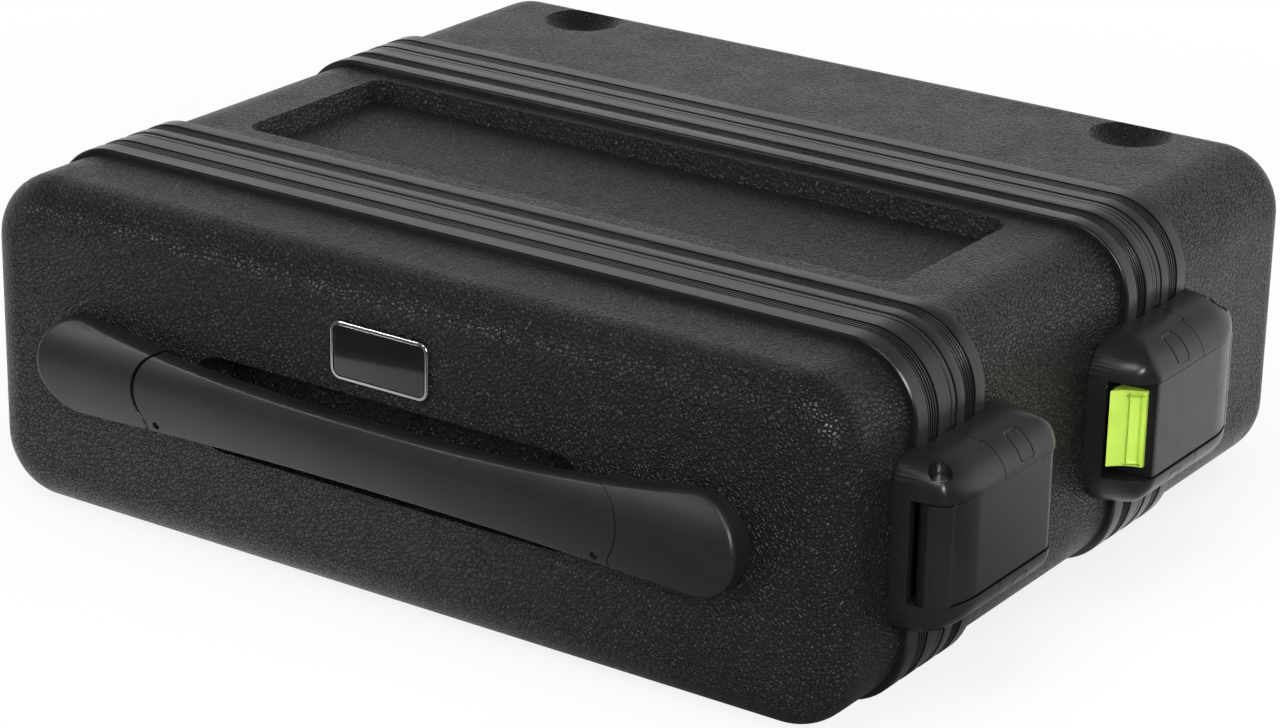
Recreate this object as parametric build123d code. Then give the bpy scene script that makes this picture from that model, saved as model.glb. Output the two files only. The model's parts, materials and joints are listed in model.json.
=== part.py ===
from build123d import *
import os

# ---------------------------------------------------------------------------
# A moulded microphone case lying flat: a middle body that is open at both ends,
# a removable front cover with the carrying handle, and a deeper rear cover.
# X is the width, -Y the front (handle side), +Z up. The origin is under the
# middle of the case's box, on the surface that it lies on. All sizes in mm.
# ---------------------------------------------------------------------------

# Case shells
case_width = 370.0
case_height = 126.0
front_cover_depth = 64.5
body_depth = 146.5
rear_cover_depth = 115.0
corner_radius = 25.0
edge_radius = 16.5
wall = 3.6

# Bands round the two joints
band_proud = 2.4
band_rebate = 1.6
outer_strip = 7.2
groove_width = 0.85
rib_width = 0.65
groove_count = 5
groove_depth = 1.0
rib_drop = 0.35
inner_strip = 5.2
joint_lip = 3.2
joint_line = 0.5
flange_thickness = 3.0
tongue_thickness = 1.4
tongue_length = 2.6
gasket_width = 1.6
gasket_depth = 1.5
step_bevel = 0.6

# Recessed panels on the top and underside of the body
panel_width = 287.0
panel_front_margin = 35.0
panel_rear_margin = 30.0
panel_depth = 7.0
panel_slope = 35.0
panel_corner = 7.0

# Round dishes at the rear corners
dish_radius = 16.4
dish_depth = 6.0
dish_from_side = 57.0
dish_from_rear = 25.5

# Handle
handle_length = 303.0
handle_lift = -1.7
handle_reach = 10.6
handle_half_height = 12.1
handle_seam_rise = 16.0
handle_seam_drop = 14.2
handle_end_radius = 18.4
handle_end_lift = 2.3
handle_top_lean = 9.0
handle_low_lean = 2.5
grip_half_length = 95.0
grip_top_half_length = 95.0
grip_bulge = 9.5
grip_bulge_height = 12.5
grip_bulge_top = 27.0
grip_back_gap = 1.6
grip_joint_gap = 1.0
grip_end_play = 0.6
handle_face_radius = 38.0
handle_edge_radius = 2.2
grip_back_radius = 2.0
hinge_from_bottom = 3.5
hinge_from_wall = 5.4
pivot_radius = 1.6
pivot_length = 18.0
pivot_notch_radius = 1.5
pivot_notch_depth = 3.7
core_width = 9.0
core_thickness = 3.0
finger_dish_width = 172.0
finger_dish_height = 36.0
finger_dish_depth = 15.0
finger_dish_corner = 14.0
finger_dish_taper = 14.0
finger_dish_floor_radius = 5.0
cap_screw_radius = 2.0
cap_screw_bite = 6.5
cap_screw_spread = 14.0
cap_screw_from_end = 22.0
cap_screw_head = 2.4
cap_screw_head_radius = 4.0

# Badge
badge_width = 42.2
badge_height = 21.6
badge_corner = 4.2
badge_rise = 32.4
badge_proud = 1.6
badge_rim = 1.2
badge_seat = 0.6
badge_floor = 0.8
badge_rim_round = 0.5
badge_dome = 0.45
badge_sink = 0.2

# Latches: u is measured outward from the side wall, v along the case from the
# joint towards the body, w up from the case's middle height
latch_stand = 22.6
cheek_rim = 0.6
cheek_half_height = 33.0
cheek_dome = 14.5
lever_half_height = 18.0
hinge_reach = 33.0
trigger_reach = 46.0
nose_length = 21.0
nose_root = 13.5
trigger_nose_length = 13.0
hinge_end_corner = 12.0
trigger_end_corner = 19.0
latch_axis_stand = 14.0
latch_axis_back = 26.5
latch_pin_radius = 3.0
latch_pin_half = 26.0
latch_pin_chamfer = 0.5
pin_hole_radius = 4.0
latch_floor = 4.6
latch_sill = 6.8
sill_thickness = 3.0
seam_jog = 1.6
seam_jog_stand = 13.5
lever_thickness = 3.4
lever_flange = 2.0
lever_flange_bottom = 8.2
lever_end = 35.2
lever_edge = 0.5
guide_rail = 1.2
guide_lip = 1.5
knuckle_radius = 6.2
claw_from_joint = 11.0
claw_length = 4.0
claw_half_width = 8.0
claw_foot_length = 3.0
claw_foot = 2.0
keeper_length = 12.0
keeper_thickness = 2.2
keeper_corner = 1.2
trigger_half_height = 14.4
trigger_bottom = 8.0
trigger_foot = 43.4
trigger_top_end = 36.4
trigger_back = 28.5
trigger_scoop = 1.2
trigger_travel = 3.0
spring_radius = 2.6
spring_wire = 0.6
spring_turns = 5
spring_length = 8.0
spring_room = 4.2
spring_stop = 2.4
rivet_radius = 2.0
rivet_head_radius = 3.6
rivet_head = 1.4
rivet_spread = 20.0
hinge_rivet_back = 12.0
keeper_rivet_ahead = 30.0
mark_width = 9.0
mark_from_joint = 12.0
mark_line = 0.6
mark_depth = 0.35

# Foam inserts
foam_gap = 0.6
foam_set_back = 3.2
foam_rib = 10.0
bay_corner = 5.0
receiver_width = 214.0
receiver_height = 48.0
accessory_width = 84.0
microphone_length = 272.0
microphone_bay = 54.0
microphone_depth = 58.0
cable_bay = 30.0
front_bay_depth = 26.0

# Clearances
seat_gap = 0.1
split_gap = 0.4
run_gap = 0.3
shaft_gap = 0.05
press_gap = 0.02
rivet_gap = 0.1

# How far a cutting shape runs past what it cuts, and a joined one into what it joins
over = 1.0
root = 0.5

# ---------------------------------------------------------------------------
# Stations worked out from the sizes above
# ---------------------------------------------------------------------------
case_depth = front_cover_depth + body_depth + rear_cover_depth
rear_y = (case_depth + handle_reach) / 2
front_y = rear_y - case_depth
front_split = front_y + front_cover_depth
rear_split = rear_y - rear_cover_depth
half_width = case_width / 2
mid_z = band_proud + case_height / 2
bottom_z = band_proud
top_z = band_proud + case_height
groove_field = groove_count * groove_width + (groove_count - 1) * rib_width
band_width = outer_strip + groove_field + inner_strip + joint_lip
handle_z = mid_z + handle_lift
hinge_y = front_y - hinge_from_wall
hinge_z = handle_z - handle_seam_drop + hinge_from_bottom
badge_z = mid_z + badge_rise
keeper_top = latch_floor + seat_gap + keeper_thickness
lever_inside = latch_stand - lever_thickness
lever_top = latch_stand + cheek_rim
split_of = {"front": front_split, "rear": rear_split}
toward_body = {"front": 1, "rear": -1}


def tube_section(inset, start, end):
    """Solid block of the case's section, inset from its outer surface, between two stations."""
    outline = RectangleRounded(case_width - 2 * inset, case_height - 2 * inset, corner_radius - inset)
    return Pos(0, end, mid_z) * extrude(Plane.XZ * outline, amount=end - start)


def ring(outer_inset, inner_inset, start, end):
    """Ring of the case's section between two insets and two stations."""
    return tube_section(outer_inset, start, end) - tube_section(inner_inset, start - over, end + over)


def span(split, direction, near, far):
    """Stations in order for a length measured from a joint in one direction."""
    a = split + direction * near
    b = split + direction * far
    return min(a, b), max(a, b)


def block(x0, x1, y0, y1, z0, z1):
    """Box between two corners."""
    return Pos((x0 + x1) / 2, (y0 + y1) / 2, (z0 + z1) / 2) * Box(x1 - x0, y1 - y0, z1 - z0)


def rod(start, end, radius):
    """Cylinder between two points."""
    axis = Vector(*end) - Vector(*start)
    upright = Cylinder(radius, axis.length, align=(Align.CENTER, Align.CENTER, Align.MIN))
    return Plane(origin=start, z_dir=axis) * upright


# ---------------------------------------------------------------------------
# Latch, drawn once in its own u, v, w axes and placed four times
# ---------------------------------------------------------------------------
def place_latch(shape, side, end):
    """Put a latch piece on the right or left side, at the front or rear joint."""
    if side == "right":
        turned = mirror(shape, Plane.XZ) if end == "rear" else shape
        return Pos(half_width, split_of[end], mid_z) * turned
    turned = Rot(0, 0, 180) * shape if end == "rear" else mirror(shape, Plane.YZ)
    return Pos(-half_width, split_of[end], mid_z) * turned


def quarter(center, x_radius, y_radius, start_angle):
    """Quarter of an ellipse, counter-clockwise from an angle."""
    return EllipticalCenterArc(center, x_radius, y_radius, start_angle=start_angle, arc_size=90)


def latch_plan(stand):
    """Outline of a latch seen from above, out to a stand from the wall."""
    nose = quarter((nose_root, nose_length - hinge_reach), stand - nose_root, nose_length, 270)
    shoulder = trigger_reach - trigger_nose_length
    tail = quarter((0, shoulder), stand, trigger_nose_length, 0)
    path = Line((-wall, -hinge_reach), (nose_root, -hinge_reach)) + nose
    path += Line((stand, nose_length - hinge_reach), (stand, shoulder)) + tail
    path += Polyline((0, trigger_reach), (-wall, trigger_reach), (-wall, -hinge_reach))
    return make_face(path)


def latch_envelope():
    """Whole outside of a latch, both halves of its base and the lever together."""
    plan = extrude(latch_plan(lever_top), amount=cheek_half_height, both=True)
    dome_base = cheek_half_height - cheek_dome
    reach = lever_top + cheek_rim
    top_dome = quarter((0, dome_base), reach, cheek_dome, 0)
    low_dome = quarter((0, -dome_base), reach, cheek_dome, 270)
    outline = Line((-wall, -cheek_half_height), (0, -cheek_half_height)) + low_dome
    outline += Line((reach, -dome_base), (reach, dome_base)) + top_dome
    outline += Line((0, cheek_half_height), (-wall, cheek_half_height))
    outline += Line((-wall, cheek_half_height), (-wall, -cheek_half_height))
    long_run = hinge_reach + trigger_reach
    dome = Pos(0, trigger_reach, 0) * extrude(Plane.XZ * make_face(outline), amount=long_run)
    side = Polyline((-hinge_reach, -cheek_half_height), (trigger_reach, -cheek_half_height),
                    (trigger_reach, cheek_half_height), (-hinge_reach, cheek_half_height), close=True)
    face = make_face(side)
    face = fillet(face.vertices().group_by(Axis.X)[0], hinge_end_corner)
    face = fillet(face.vertices().group_by(Axis.X)[-1], trigger_end_corner)
    silhouette = Pos(-wall, 0, 0) * extrude(Plane.YZ * face, amount=wall + lever_top + over)
    return plan & dome & silhouette


def latch_side_walls():
    """Space that the case's wall and bands take under a latch."""
    tall = cheek_half_height + over
    reach = band_width + seat_gap
    shell = block(-2 * wall, seat_gap, -2 * hinge_reach, 2 * trigger_reach, -tall, tall)
    bands = block(-2 * wall, band_proud + seat_gap, -reach, reach, -tall, tall)
    return shell + bands


def latch_channel():
    """Space between the cheeks that the lever and its trigger move in."""
    half = lever_half_height + run_gap
    outside = lever_top + over
    over_sills = block(latch_sill, outside, -2 * hinge_reach, 2 * trigger_reach, -half, half)
    start = sill_thickness - hinge_reach
    end = trigger_reach - sill_thickness
    between_sills = block(latch_floor, outside, start, end, -half, half)
    return over_sills + between_sills


def latch_pin_bores():
    """Bores for the lever's hinge pin, with an access hole from each cheek's surface."""
    axis_v = -latch_axis_back
    reach = latch_pin_half + shaft_gap
    low = (latch_axis_stand, axis_v, -reach)
    high = (latch_axis_stand, axis_v, reach)
    pin = rod(low, high, latch_pin_radius + press_gap)
    top = rod(high, (latch_axis_stand, axis_v, 2 * reach), pin_hole_radius)
    return pin + top + mirror(top, Plane.XY)


def rivet_places(v):
    """The two rivets of one half of a latch's base."""
    return [(v, w) for w in (-rivet_spread / 2, rivet_spread / 2)]


def rivet_holes(v):
    """Holes for the rivets through a base, a band and the shell."""
    radius = rivet_radius + rivet_gap
    holes = [rod((-2 * wall, a, w), (latch_floor + over, a, w), radius) for a, w in rivet_places(v)]
    return holes[0] + holes[1]


def rivets(v):
    """Rivets with a pan head on the latch's floor and a formed tail inside the shell."""
    made = []
    for a, w in rivet_places(v):
        head_low = latch_floor + seat_gap
        tail_top = -wall - seat_gap
        body = rod((tail_top, a, w), (head_low, a, w), rivet_radius)
        head = rod((head_low, a, w), (head_low + rivet_head, a, w), rivet_head_radius)
        head = fillet(head.edges().sort_by(Axis.X)[-1], rivet_head / 2)
        tail = rod((tail_top - rivet_head, a, w), (tail_top, a, w), rivet_head_radius)
        made.append(head + body + tail)
    return made


def seam_cut(clear):
    """Half space on the body's side of a base's seam, with the jog in its outer part."""
    far = 3 * trigger_reach
    tall = cheek_half_height + over
    inner = block(-2 * wall, lever_top + over, clear, far, -tall, tall)
    jog = block(seam_jog_stand - clear, lever_top + 2 * over, -over, seam_jog + clear, -tall, tall)
    return inner - jog


def hinge_base(envelope):
    """Cover half of a latch's base: floor, cheeks and hinge bores."""
    base = envelope - seam_cut(-split_gap / 2) - latch_side_walls() - latch_channel()
    return base - latch_pin_bores() - rivet_holes(-hinge_rivet_back)


def keeper_base(envelope):
    """Body half of a latch's base: floor, cheeks, sill and the outlined mark on each cheek."""
    base = (envelope & seam_cut(split_gap / 2)) - latch_side_walls() - latch_channel()
    base -= rivet_holes(keeper_rivet_ahead)
    mark_high = mark_from_joint + mark_width
    inside_start = mark_from_joint + mark_line
    inside_end = mark_high - mark_line
    tall = cheek_half_height + over
    top = lever_top + over
    frame = block(seam_jog_stand, top, mark_from_joint, mark_high, 0, tall)
    frame -= block(seam_jog_stand + mark_line, top + over, inside_start, inside_end, -over, tall + over)
    groove = frame - Pos(0, 0, -mark_depth) * envelope
    return base - groove - mirror(groove, Plane.XY)


def keeper_plate():
    """Steel plate that the lever's claw comes down beside."""
    low = latch_floor + seat_gap
    start = claw_from_joint - (keeper_length - claw_length) / 2
    plate = block(low, keeper_top, start, start + keeper_length, -claw_half_width, claw_half_width)
    return fillet(plate.edges().filter_by(Axis.X), keeper_corner)


def spring_stop_v():
    """Where the wall stands that the trigger's spring pushes against."""
    return trigger_back - trigger_travel - spring_room


def lever_plate():
    """Curved outer plate of a lever, from its nose to the trigger's opening."""
    half = lever_half_height
    outer = extrude(latch_plan(latch_stand), amount=half, both=True)
    nose_stand = latch_stand - lever_thickness - nose_root
    inside = quarter((nose_root, nose_length - hinge_reach), nose_stand, nose_length - lever_thickness, 270)
    corner = (-2 * wall, -2 * hinge_reach)
    hollow = Polyline(corner, (nose_root, -2 * hinge_reach), inside @ 0) + inside
    hollow += Polyline(inside @ 1, (lever_inside, 2 * trigger_reach), (-2 * wall, 2 * trigger_reach), corner)
    hollow = extrude(make_face(hollow), amount=half + over, both=True)
    tall = half + over
    end_cut = block(-2 * wall, lever_top + over, lever_end, 3 * trigger_reach, -tall, tall)
    return outer - hollow - end_cut


def lever_side(sign):
    """Side flange of a lever, with the rail and the lip that hold the trigger."""
    half = lever_half_height
    top = lever_inside + root
    start = knuckle_radius - latch_axis_back - 2 * root
    low, high = sorted((sign * (half - lever_flange), sign * half))
    flange = block(lever_flange_bottom, top, start, lever_end, low, high)
    low, high = sorted((sign * (trigger_half_height + run_gap), sign * (half - lever_flange + root)))
    lip = block(lever_flange_bottom, top, lever_end - guide_lip, lever_end, low, high)
    rail_top = lever_flange_bottom + guide_rail
    rail = block(lever_flange_bottom, rail_top, spring_stop_v() - root, lever_end, low, high)
    return flange + lip + rail


def claw():
    """Hook under a lever that comes down over the keeper's plate."""
    low = keeper_top + run_gap
    start = claw_from_joint
    end = claw_from_joint + claw_length
    half = claw_half_width
    leg = block(low, lever_inside + root, start, end, -half, half)
    return leg + block(low, low + claw_foot, start - claw_foot_length, end, -half, half)


def lever():
    """Latch lever: curved plate, hinge knuckle, side flanges, claw and the spring's stop."""
    half = lever_half_height
    axis_v = -latch_axis_back
    knuckle = rod((latch_axis_stand, axis_v, -half), (latch_axis_stand, axis_v, half), knuckle_radius)
    made = lever_plate() + knuckle + lever_side(-1) + lever_side(1) + claw()
    stop_half = half - lever_flange + root
    stop_v = spring_stop_v()
    top = lever_inside + root
    made += block(lever_flange_bottom, top, stop_v - spring_stop, stop_v, -stop_half, stop_half)
    low = (latch_axis_stand, axis_v, -half - over)
    high = (latch_axis_stand, axis_v, half + over)
    made -= rod(low, high, latch_pin_radius + shaft_gap)
    long_edges = made.edges().filter_by(Axis.Y).filter_by(lambda e: e.center().X > latch_stand - root)
    return chamfer(long_edges, lever_edge)


def spring_axis_u():
    """Stand of the trigger spring's axis, half way up the trigger's back."""
    return (lever_flange_bottom + lever_inside) / 2


def trigger():
    """Release trigger: a block with a scooped slanted face that slides under the lever's end."""
    top_u = lever_inside - run_gap
    top = Vector(top_u, trigger_top_end)
    foot = Vector(trigger_bottom, trigger_foot)
    slope = foot - top
    inward = Vector(-slope.Y, slope.X).normalized()
    outline = ThreePointArc(top, (top + foot) / 2 + inward * trigger_scoop, foot)
    outline += Polyline(foot, (trigger_bottom, trigger_back), (top_u, trigger_back), top)
    body = extrude(make_face(outline), amount=trigger_half_height, both=True)
    guide_half = lever_half_height - lever_flange - run_gap
    guide_low = lever_flange_bottom + guide_rail + run_gap
    guide_end = lever_end - guide_lip - run_gap
    body += block(guide_low, top_u, trigger_back, guide_end, -guide_half, guide_half)
    u = spring_axis_u()
    bore_end = trigger_back + spring_length - spring_room + 2 * run_gap
    bore_radius = spring_radius + spring_wire / 2 + run_gap
    return body - rod((u, trigger_back - over, 0), (u, bore_end, 0), bore_radius)


def trigger_spring():
    """Compression spring behind the trigger, drawn as long as it is when the trigger is pressed."""
    u = spring_axis_u()
    start = spring_stop_v() + seat_gap
    length = spring_length - 2 * spring_wire
    pitch = length / spring_turns
    coil = Helix(pitch=pitch, height=length, radius=spring_radius)
    section = Plane(origin=coil @ 0, z_dir=coil % 0) * Circle(spring_wire / 2)
    wire = sweep(section, path=coil, is_frenet=True)
    return Plane(origin=(u, start + spring_wire, 0), z_dir=(0, 1, 0)) * wire


def latch_pin():
    """Steel hinge pin of the lever."""
    low = (latch_axis_stand, -latch_axis_back, -latch_pin_half)
    high = (latch_axis_stand, -latch_axis_back, latch_pin_half)
    pin = rod(low, high, latch_pin_radius)
    return chamfer(pin.edges().filter_by(GeomType.CIRCLE), latch_pin_chamfer)


# ---------------------------------------------------------------------------
# Bands and gaskets
# ---------------------------------------------------------------------------
def band_strips():
    """Widths of a band's strips from the joint outwards, each with how far it lies below the band's face."""
    strips = [(joint_lip - joint_line, rib_drop), (joint_line, groove_depth), (inner_strip, 0)]
    for index in range(groove_count):
        strips.append((groove_width, groove_depth))
        if index < groove_count - 1:
            strips.append((rib_width, rib_drop))
    strips.append((outer_strip - split_gap / 2, 0))
    return strips


def band(split, direction):
    """Half of the band round a joint: strips, fine grooves and a flange over the shell's rim."""
    sleeve = band_rebate - seat_gap
    near = split_gap / 2
    outer = None
    for width, drop in band_strips():
        y0, y1 = span(split, direction, near, near + width)
        piece = tube_section(drop - band_proud, y0, y1)
        outer = piece if outer is None else outer + piece
        near += width
    step = split + direction * band_width
    step_edges = outer.edges().filter_by(lambda e: abs(e.center().Y - step) < seat_gap)
    outer = chamfer(step_edges, step_bevel)
    y0, y1 = span(split, direction, split_gap / 2 + flange_thickness, band_width + over)
    hole = tube_section(sleeve, y0, y1)
    y0, y1 = span(split, direction, -over, split_gap / 2 + flange_thickness + over)
    return outer - hole - tube_section(wall, y0, y1)


def rivet_holes_at(end, v):
    """The rivet holes of the right and left latch at one joint."""
    holes = rivet_holes(v)
    return place_latch(holes, "right", end) + place_latch(holes, "left", end)


def cover_band(end):
    """Cover's half of a band, relieved inside for the body's tongue."""
    split = split_of[end]
    direction = -toward_body[end]
    y0, y1 = span(split, direction, 0, tongue_length + run_gap)
    relief = tube_section(wall - tongue_thickness - run_gap, y0, y1)
    return band(split, direction) - relief - rivet_holes_at(end, -hinge_rivet_back)


def body_band(end):
    """Body's half of a band, with the tongue and the groove for the gasket."""
    split = split_of[end]
    direction = toward_body[end]
    tongue_y = span(split, -direction, -flange_thickness, tongue_length)
    tongue = ring(wall - tongue_thickness, wall, *tongue_y)
    groove_y = span(split, direction, 0, gasket_depth + split_gap / 2)
    middle = (wall - tongue_thickness - band_proud) / 2
    groove = ring(middle - gasket_width / 2, middle + gasket_width / 2, *groove_y)
    return band(split, direction) + tongue - groove


def gasket(end):
    """Sealing strip in the groove of the body's band."""
    split = split_of[end]
    direction = toward_body[end]
    y0, y1 = span(split, direction, split_gap / 2, gasket_depth + split_gap / 2 - seat_gap)
    middle = (wall - tongue_thickness - band_proud) / 2
    half = gasket_width / 2 - seat_gap
    return ring(middle - half, middle + half, y0, y1)


# ---------------------------------------------------------------------------
# Shells
# ---------------------------------------------------------------------------
def rebate_for_band(split, direction):
    """What a band takes off the outside and the rim of a shell."""
    y0, y1 = span(split, direction, -over, band_width + seat_gap)
    outside = ring(-over, band_rebate, y0, y1)
    y0, y1 = span(split, direction, -over, flange_thickness + split_gap / 2 + seat_gap)
    return outside + tube_section(-over, y0, y1)


def front_edges(shape):
    """Edges round the shape's front face."""
    return shape.edges().group_by(Axis.Y)[0]


def rear_edges(shape):
    """Edges round the shape's rear face."""
    return shape.edges().group_by(Axis.Y)[-1]


def finger_dish(inset):
    """Scoop behind the grip, or its wall's inner side when an inset is given."""
    width = finger_dish_width + 2 * inset
    height = finger_dish_height + 2 * inset
    face = Plane.XZ * RectangleRounded(width, height, finger_dish_corner + inset)
    scoop = extrude(face, amount=-(finger_dish_depth + inset), taper=finger_dish_taper)
    scoop = fillet(rear_edges(scoop), finger_dish_floor_radius)
    return Pos(0, front_y, handle_z) * scoop


def badge_pocket():
    """Seat that the badge's bezel sits in."""
    width = badge_width + 2 * seat_gap
    height = badge_height + 2 * seat_gap
    face = Plane.XZ * RectangleRounded(width, height, badge_corner + seat_gap)
    return Pos(0, front_y + badge_seat, badge_z) * extrude(face, amount=badge_seat + over)


def cap_screw_places():
    """The screws that hold the handle's end caps, two to each cap."""
    x = handle_length / 2 - cap_screw_from_end
    places = []
    for sign in (-1, 1):
        for lift in (-cap_screw_spread / 2, cap_screw_spread / 2):
            places.append((sign * x, handle_z + handle_end_lift + lift))
    return places


def cap_screw_holes():
    """Clearance holes for the cap screws through the front wall and into the caps."""
    holes = None
    for x, z in cap_screw_places():
        inner = (x, front_y + wall + over, z)
        hole = rod(inner, (x, front_y - cap_screw_bite - seat_gap, z), cap_screw_radius + rivet_gap)
        holes = hole if holes is None else holes + hole
    return holes


def front_cover_shell():
    """Front cover: rounded shell with the finger scoop, badge seat and holes."""
    outside = fillet(front_edges(tube_section(0, front_y, front_split)), edge_radius)
    inside = fillet(front_edges(tube_section(wall, front_y + wall, front_split + over)), edge_radius - wall)
    made = outside - (inside - finger_dish(wall)) - finger_dish(0)
    made -= rebate_for_band(front_split, -1)
    made -= badge_pocket() + cap_screw_holes()
    return made - rivet_holes_at("front", -hinge_rivet_back)


def dish(inset):
    """Round dishes near the rear corners, above and below, or their wall's inner side."""
    ball = (dish_radius ** 2 + dish_depth ** 2) / (2 * dish_depth)
    rise = ball - dish_depth
    made = None
    for x in (-half_width + dish_from_side, half_width - dish_from_side):
        for z in (bottom_z - rise, top_z + rise):
            cut = Pos(x, rear_y - dish_from_rear, z) * Sphere(ball + inset)
            made = cut if made is None else made + cut
    return made


def rear_cover_shell():
    """Rear cover: deep rounded shell with the four round dishes."""
    outside = fillet(rear_edges(tube_section(0, rear_split, rear_y)), edge_radius)
    inside = fillet(rear_edges(tube_section(wall, rear_split - over, rear_y - wall)), edge_radius - wall)
    made = outside - (inside - dish(wall)) - dish(0)
    made -= rebate_for_band(rear_split, 1)
    return made - rivet_holes_at("rear", -hinge_rivet_back)


def panel(inset):
    """Recessed panels on the top and underside, or their wall's inner side."""
    y0 = front_split + panel_front_margin - inset
    y1 = rear_split - panel_rear_margin + inset
    face = RectangleRounded(panel_width + 2 * inset, y1 - y0, panel_corner + inset)
    cut = extrude(face, amount=-(panel_depth + inset), taper=panel_slope)
    top = Pos(0, (y0 + y1) / 2, top_z) * cut
    return top + mirror(top, Plane.XY.offset(mid_z))


def body_shell():
    """Middle body: an open tube with a recessed panel above and below."""
    outside = tube_section(0, front_split, rear_split)
    inside = tube_section(wall, front_split - over, rear_split + over)
    made = outside - (inside - panel(wall)) - panel(0)
    made -= rebate_for_band(front_split, 1) + rebate_for_band(rear_split, -1)
    made -= rivet_holes_at("front", keeper_rivet_ahead)
    return made - rivet_holes_at("rear", keeper_rivet_ahead)


# ---------------------------------------------------------------------------
# Handle
# ---------------------------------------------------------------------------
def handle_outline():
    """Outline of the handle seen from the front: waisted, with round ends."""
    centre = Vector(handle_length / 2 - handle_end_radius, handle_end_lift)
    sweep_angle = 180 + handle_top_lean + handle_low_lean
    end = CenterArc(centre, handle_end_radius, -90 - handle_low_lean, sweep_angle)
    top_seam = (grip_top_half_length, handle_seam_rise)
    low_seam = (grip_half_length, -handle_seam_drop)
    low = Spline((0, -handle_half_height), low_seam, end @ 0, tangents=((1, 0), end % 0))
    top_slope = end % 1
    top = Spline(end @ 1, top_seam, (0, handle_half_height), tangents=(top_slope, (-1, 0)))
    half = low + end + top
    return make_face(half + mirror(half, Plane.YZ))


def handle_blank(back):
    """Whole handle from a gap off the wall out to its curved face."""
    outline = Plane.XZ * handle_outline()
    blank = Pos(0, front_y - back, handle_z) * extrude(outline, amount=handle_reach + over - back)
    centre_y = front_y - handle_reach + handle_face_radius
    face_z = handle_z + handle_end_lift / 2
    barrel = rod((-handle_length, centre_y, face_z), (handle_length, centre_y, face_z), handle_face_radius)
    blank = blank & barrel
    front_face = blank.faces().sort_by(Axis.Y)[0]
    return fillet(front_face.edges(), handle_edge_radius)


def grip_space(clear):
    """Space of revolution round the grip's hinge that bounds the grip's ends."""
    x0 = grip_half_length + clear
    x1 = grip_top_half_length + clear
    bulged = ThreePointArc((x0, 0), (x0 + grip_bulge, grip_bulge_height), (x1, grip_bulge_top))
    top = 2 * (handle_seam_rise + handle_seam_drop)
    outline = Line((0, 0), (x0, 0)) + bulged + Polyline((x1, grip_bulge_top), (x1, top), (0, top), (0, 0))
    plane = Plane(origin=(0, hinge_y, hinge_z), x_dir=(1, 0, 0), z_dir=(0, -1, 0))
    half = revolve(plane * make_face(outline), axis=Axis((0, hinge_y, hinge_z), (1, 0, 0)))
    return half + mirror(half, Plane.YZ)


def pivot_rods(radius, clear):
    """Pivot pins at both ends of the grip, or the bores for them."""
    inner = grip_half_length - pivot_length / 2 - clear
    outer = grip_half_length + pivot_length / 2 + clear
    ends = [((sign * inner, hinge_y, hinge_z), (sign * outer, hinge_y, hinge_z)) for sign in (-1, 1)]
    return [rod(start, end, radius) for start, end in ends]


def pivot_notches():
    """Small round notches in the handle's face, where its gaps end."""
    face_y = front_y - handle_reach
    notches = None
    for sign in (-1, 1):
        x = sign * (grip_half_length + grip_joint_gap / 2)
        notch = rod((x, face_y - over, hinge_z), (x, face_y + pivot_notch_depth, hinge_z), pivot_notch_radius)
        notches = notch if notches is None else notches + notch
    return notches


def core_space(clear):
    """Steel bar inside the grip, or the pocket for it when a clearance is given."""
    half = grip_half_length - pivot_length
    y = front_y - (grip_back_gap + handle_reach) / 2
    size = (2 * (half + clear), core_thickness + 2 * clear, core_width + 2 * clear)
    return Pos(0, y, handle_z) * Box(*size)


def handle_grip():
    """Moulded grip that swings out on its pivots, pushed to the right end of its play."""
    blank = handle_blank(grip_back_gap)
    grip = fillet(rear_edges(blank), grip_back_radius) & Pos(grip_end_play, 0, 0) * grip_space(0)
    pins = pivot_rods(pivot_radius + shaft_gap, run_gap)
    return grip - pins[0] - pins[1] - pivot_notches() - core_space(seat_gap)


def handle_cap(side):
    """End cap that carries one end of the grip."""
    caps = handle_blank(seat_gap) - grip_space(grip_joint_gap)
    pins = pivot_rods(pivot_radius + press_gap, seat_gap)
    caps = caps - pins[0] - pins[1] - pivot_notches() - cap_screw_holes()
    solids = caps.solids().sort_by(Axis.X)
    return solids[-1] if side == "right" else solids[0]


def cap_screws():
    """Pan-head screws from inside the front wall into the caps."""
    made = []
    for x, z in cap_screw_places():
        head_y = front_y + wall + seat_gap
        shank = rod((x, front_y - cap_screw_bite, z), (x, head_y, z), cap_screw_radius)
        head = rod((x, head_y, z), (x, head_y + cap_screw_head, z), cap_screw_head_radius)
        made.append(shank + head)
    return made


# ---------------------------------------------------------------------------
# Badge
# ---------------------------------------------------------------------------
def badge_bezel():
    """Bright rim with a thin floor, seated in the front wall."""
    floor_y = front_y + badge_seat - seat_gap
    face = Plane.XZ * RectangleRounded(badge_width, badge_height, badge_corner)
    body = Pos(0, floor_y, badge_z) * extrude(face, amount=badge_seat - seat_gap + badge_proud)
    body = fillet(front_edges(body), badge_rim_round)
    width = badge_width - 2 * badge_rim
    height = badge_height - 2 * badge_rim
    inner = Plane.XZ * RectangleRounded(width, height, badge_corner - badge_rim)
    return body - Pos(0, floor_y - badge_floor, badge_z) * extrude(inner, amount=badge_proud + over)


def badge_plate():
    """Bare domed plate inside the bezel."""
    start = front_y + badge_seat - seat_gap - badge_floor - seat_gap
    inset = badge_rim + seat_gap
    width = badge_width - 2 * inset
    height = badge_height - 2 * inset
    face = Plane.XZ * RectangleRounded(width, height, badge_corner - inset)
    depth = start - (front_y - badge_proud) - badge_sink
    plate = Pos(0, start, badge_z) * extrude(face, amount=depth)
    return fillet(front_edges(plate), badge_dome)


# ---------------------------------------------------------------------------
# Foam inserts
# ---------------------------------------------------------------------------
def foam_inset():
    """How far a foam block stays inside the case's outer surface, clear of the rivet tails."""
    return wall + rivet_head + seat_gap + foam_gap


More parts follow.
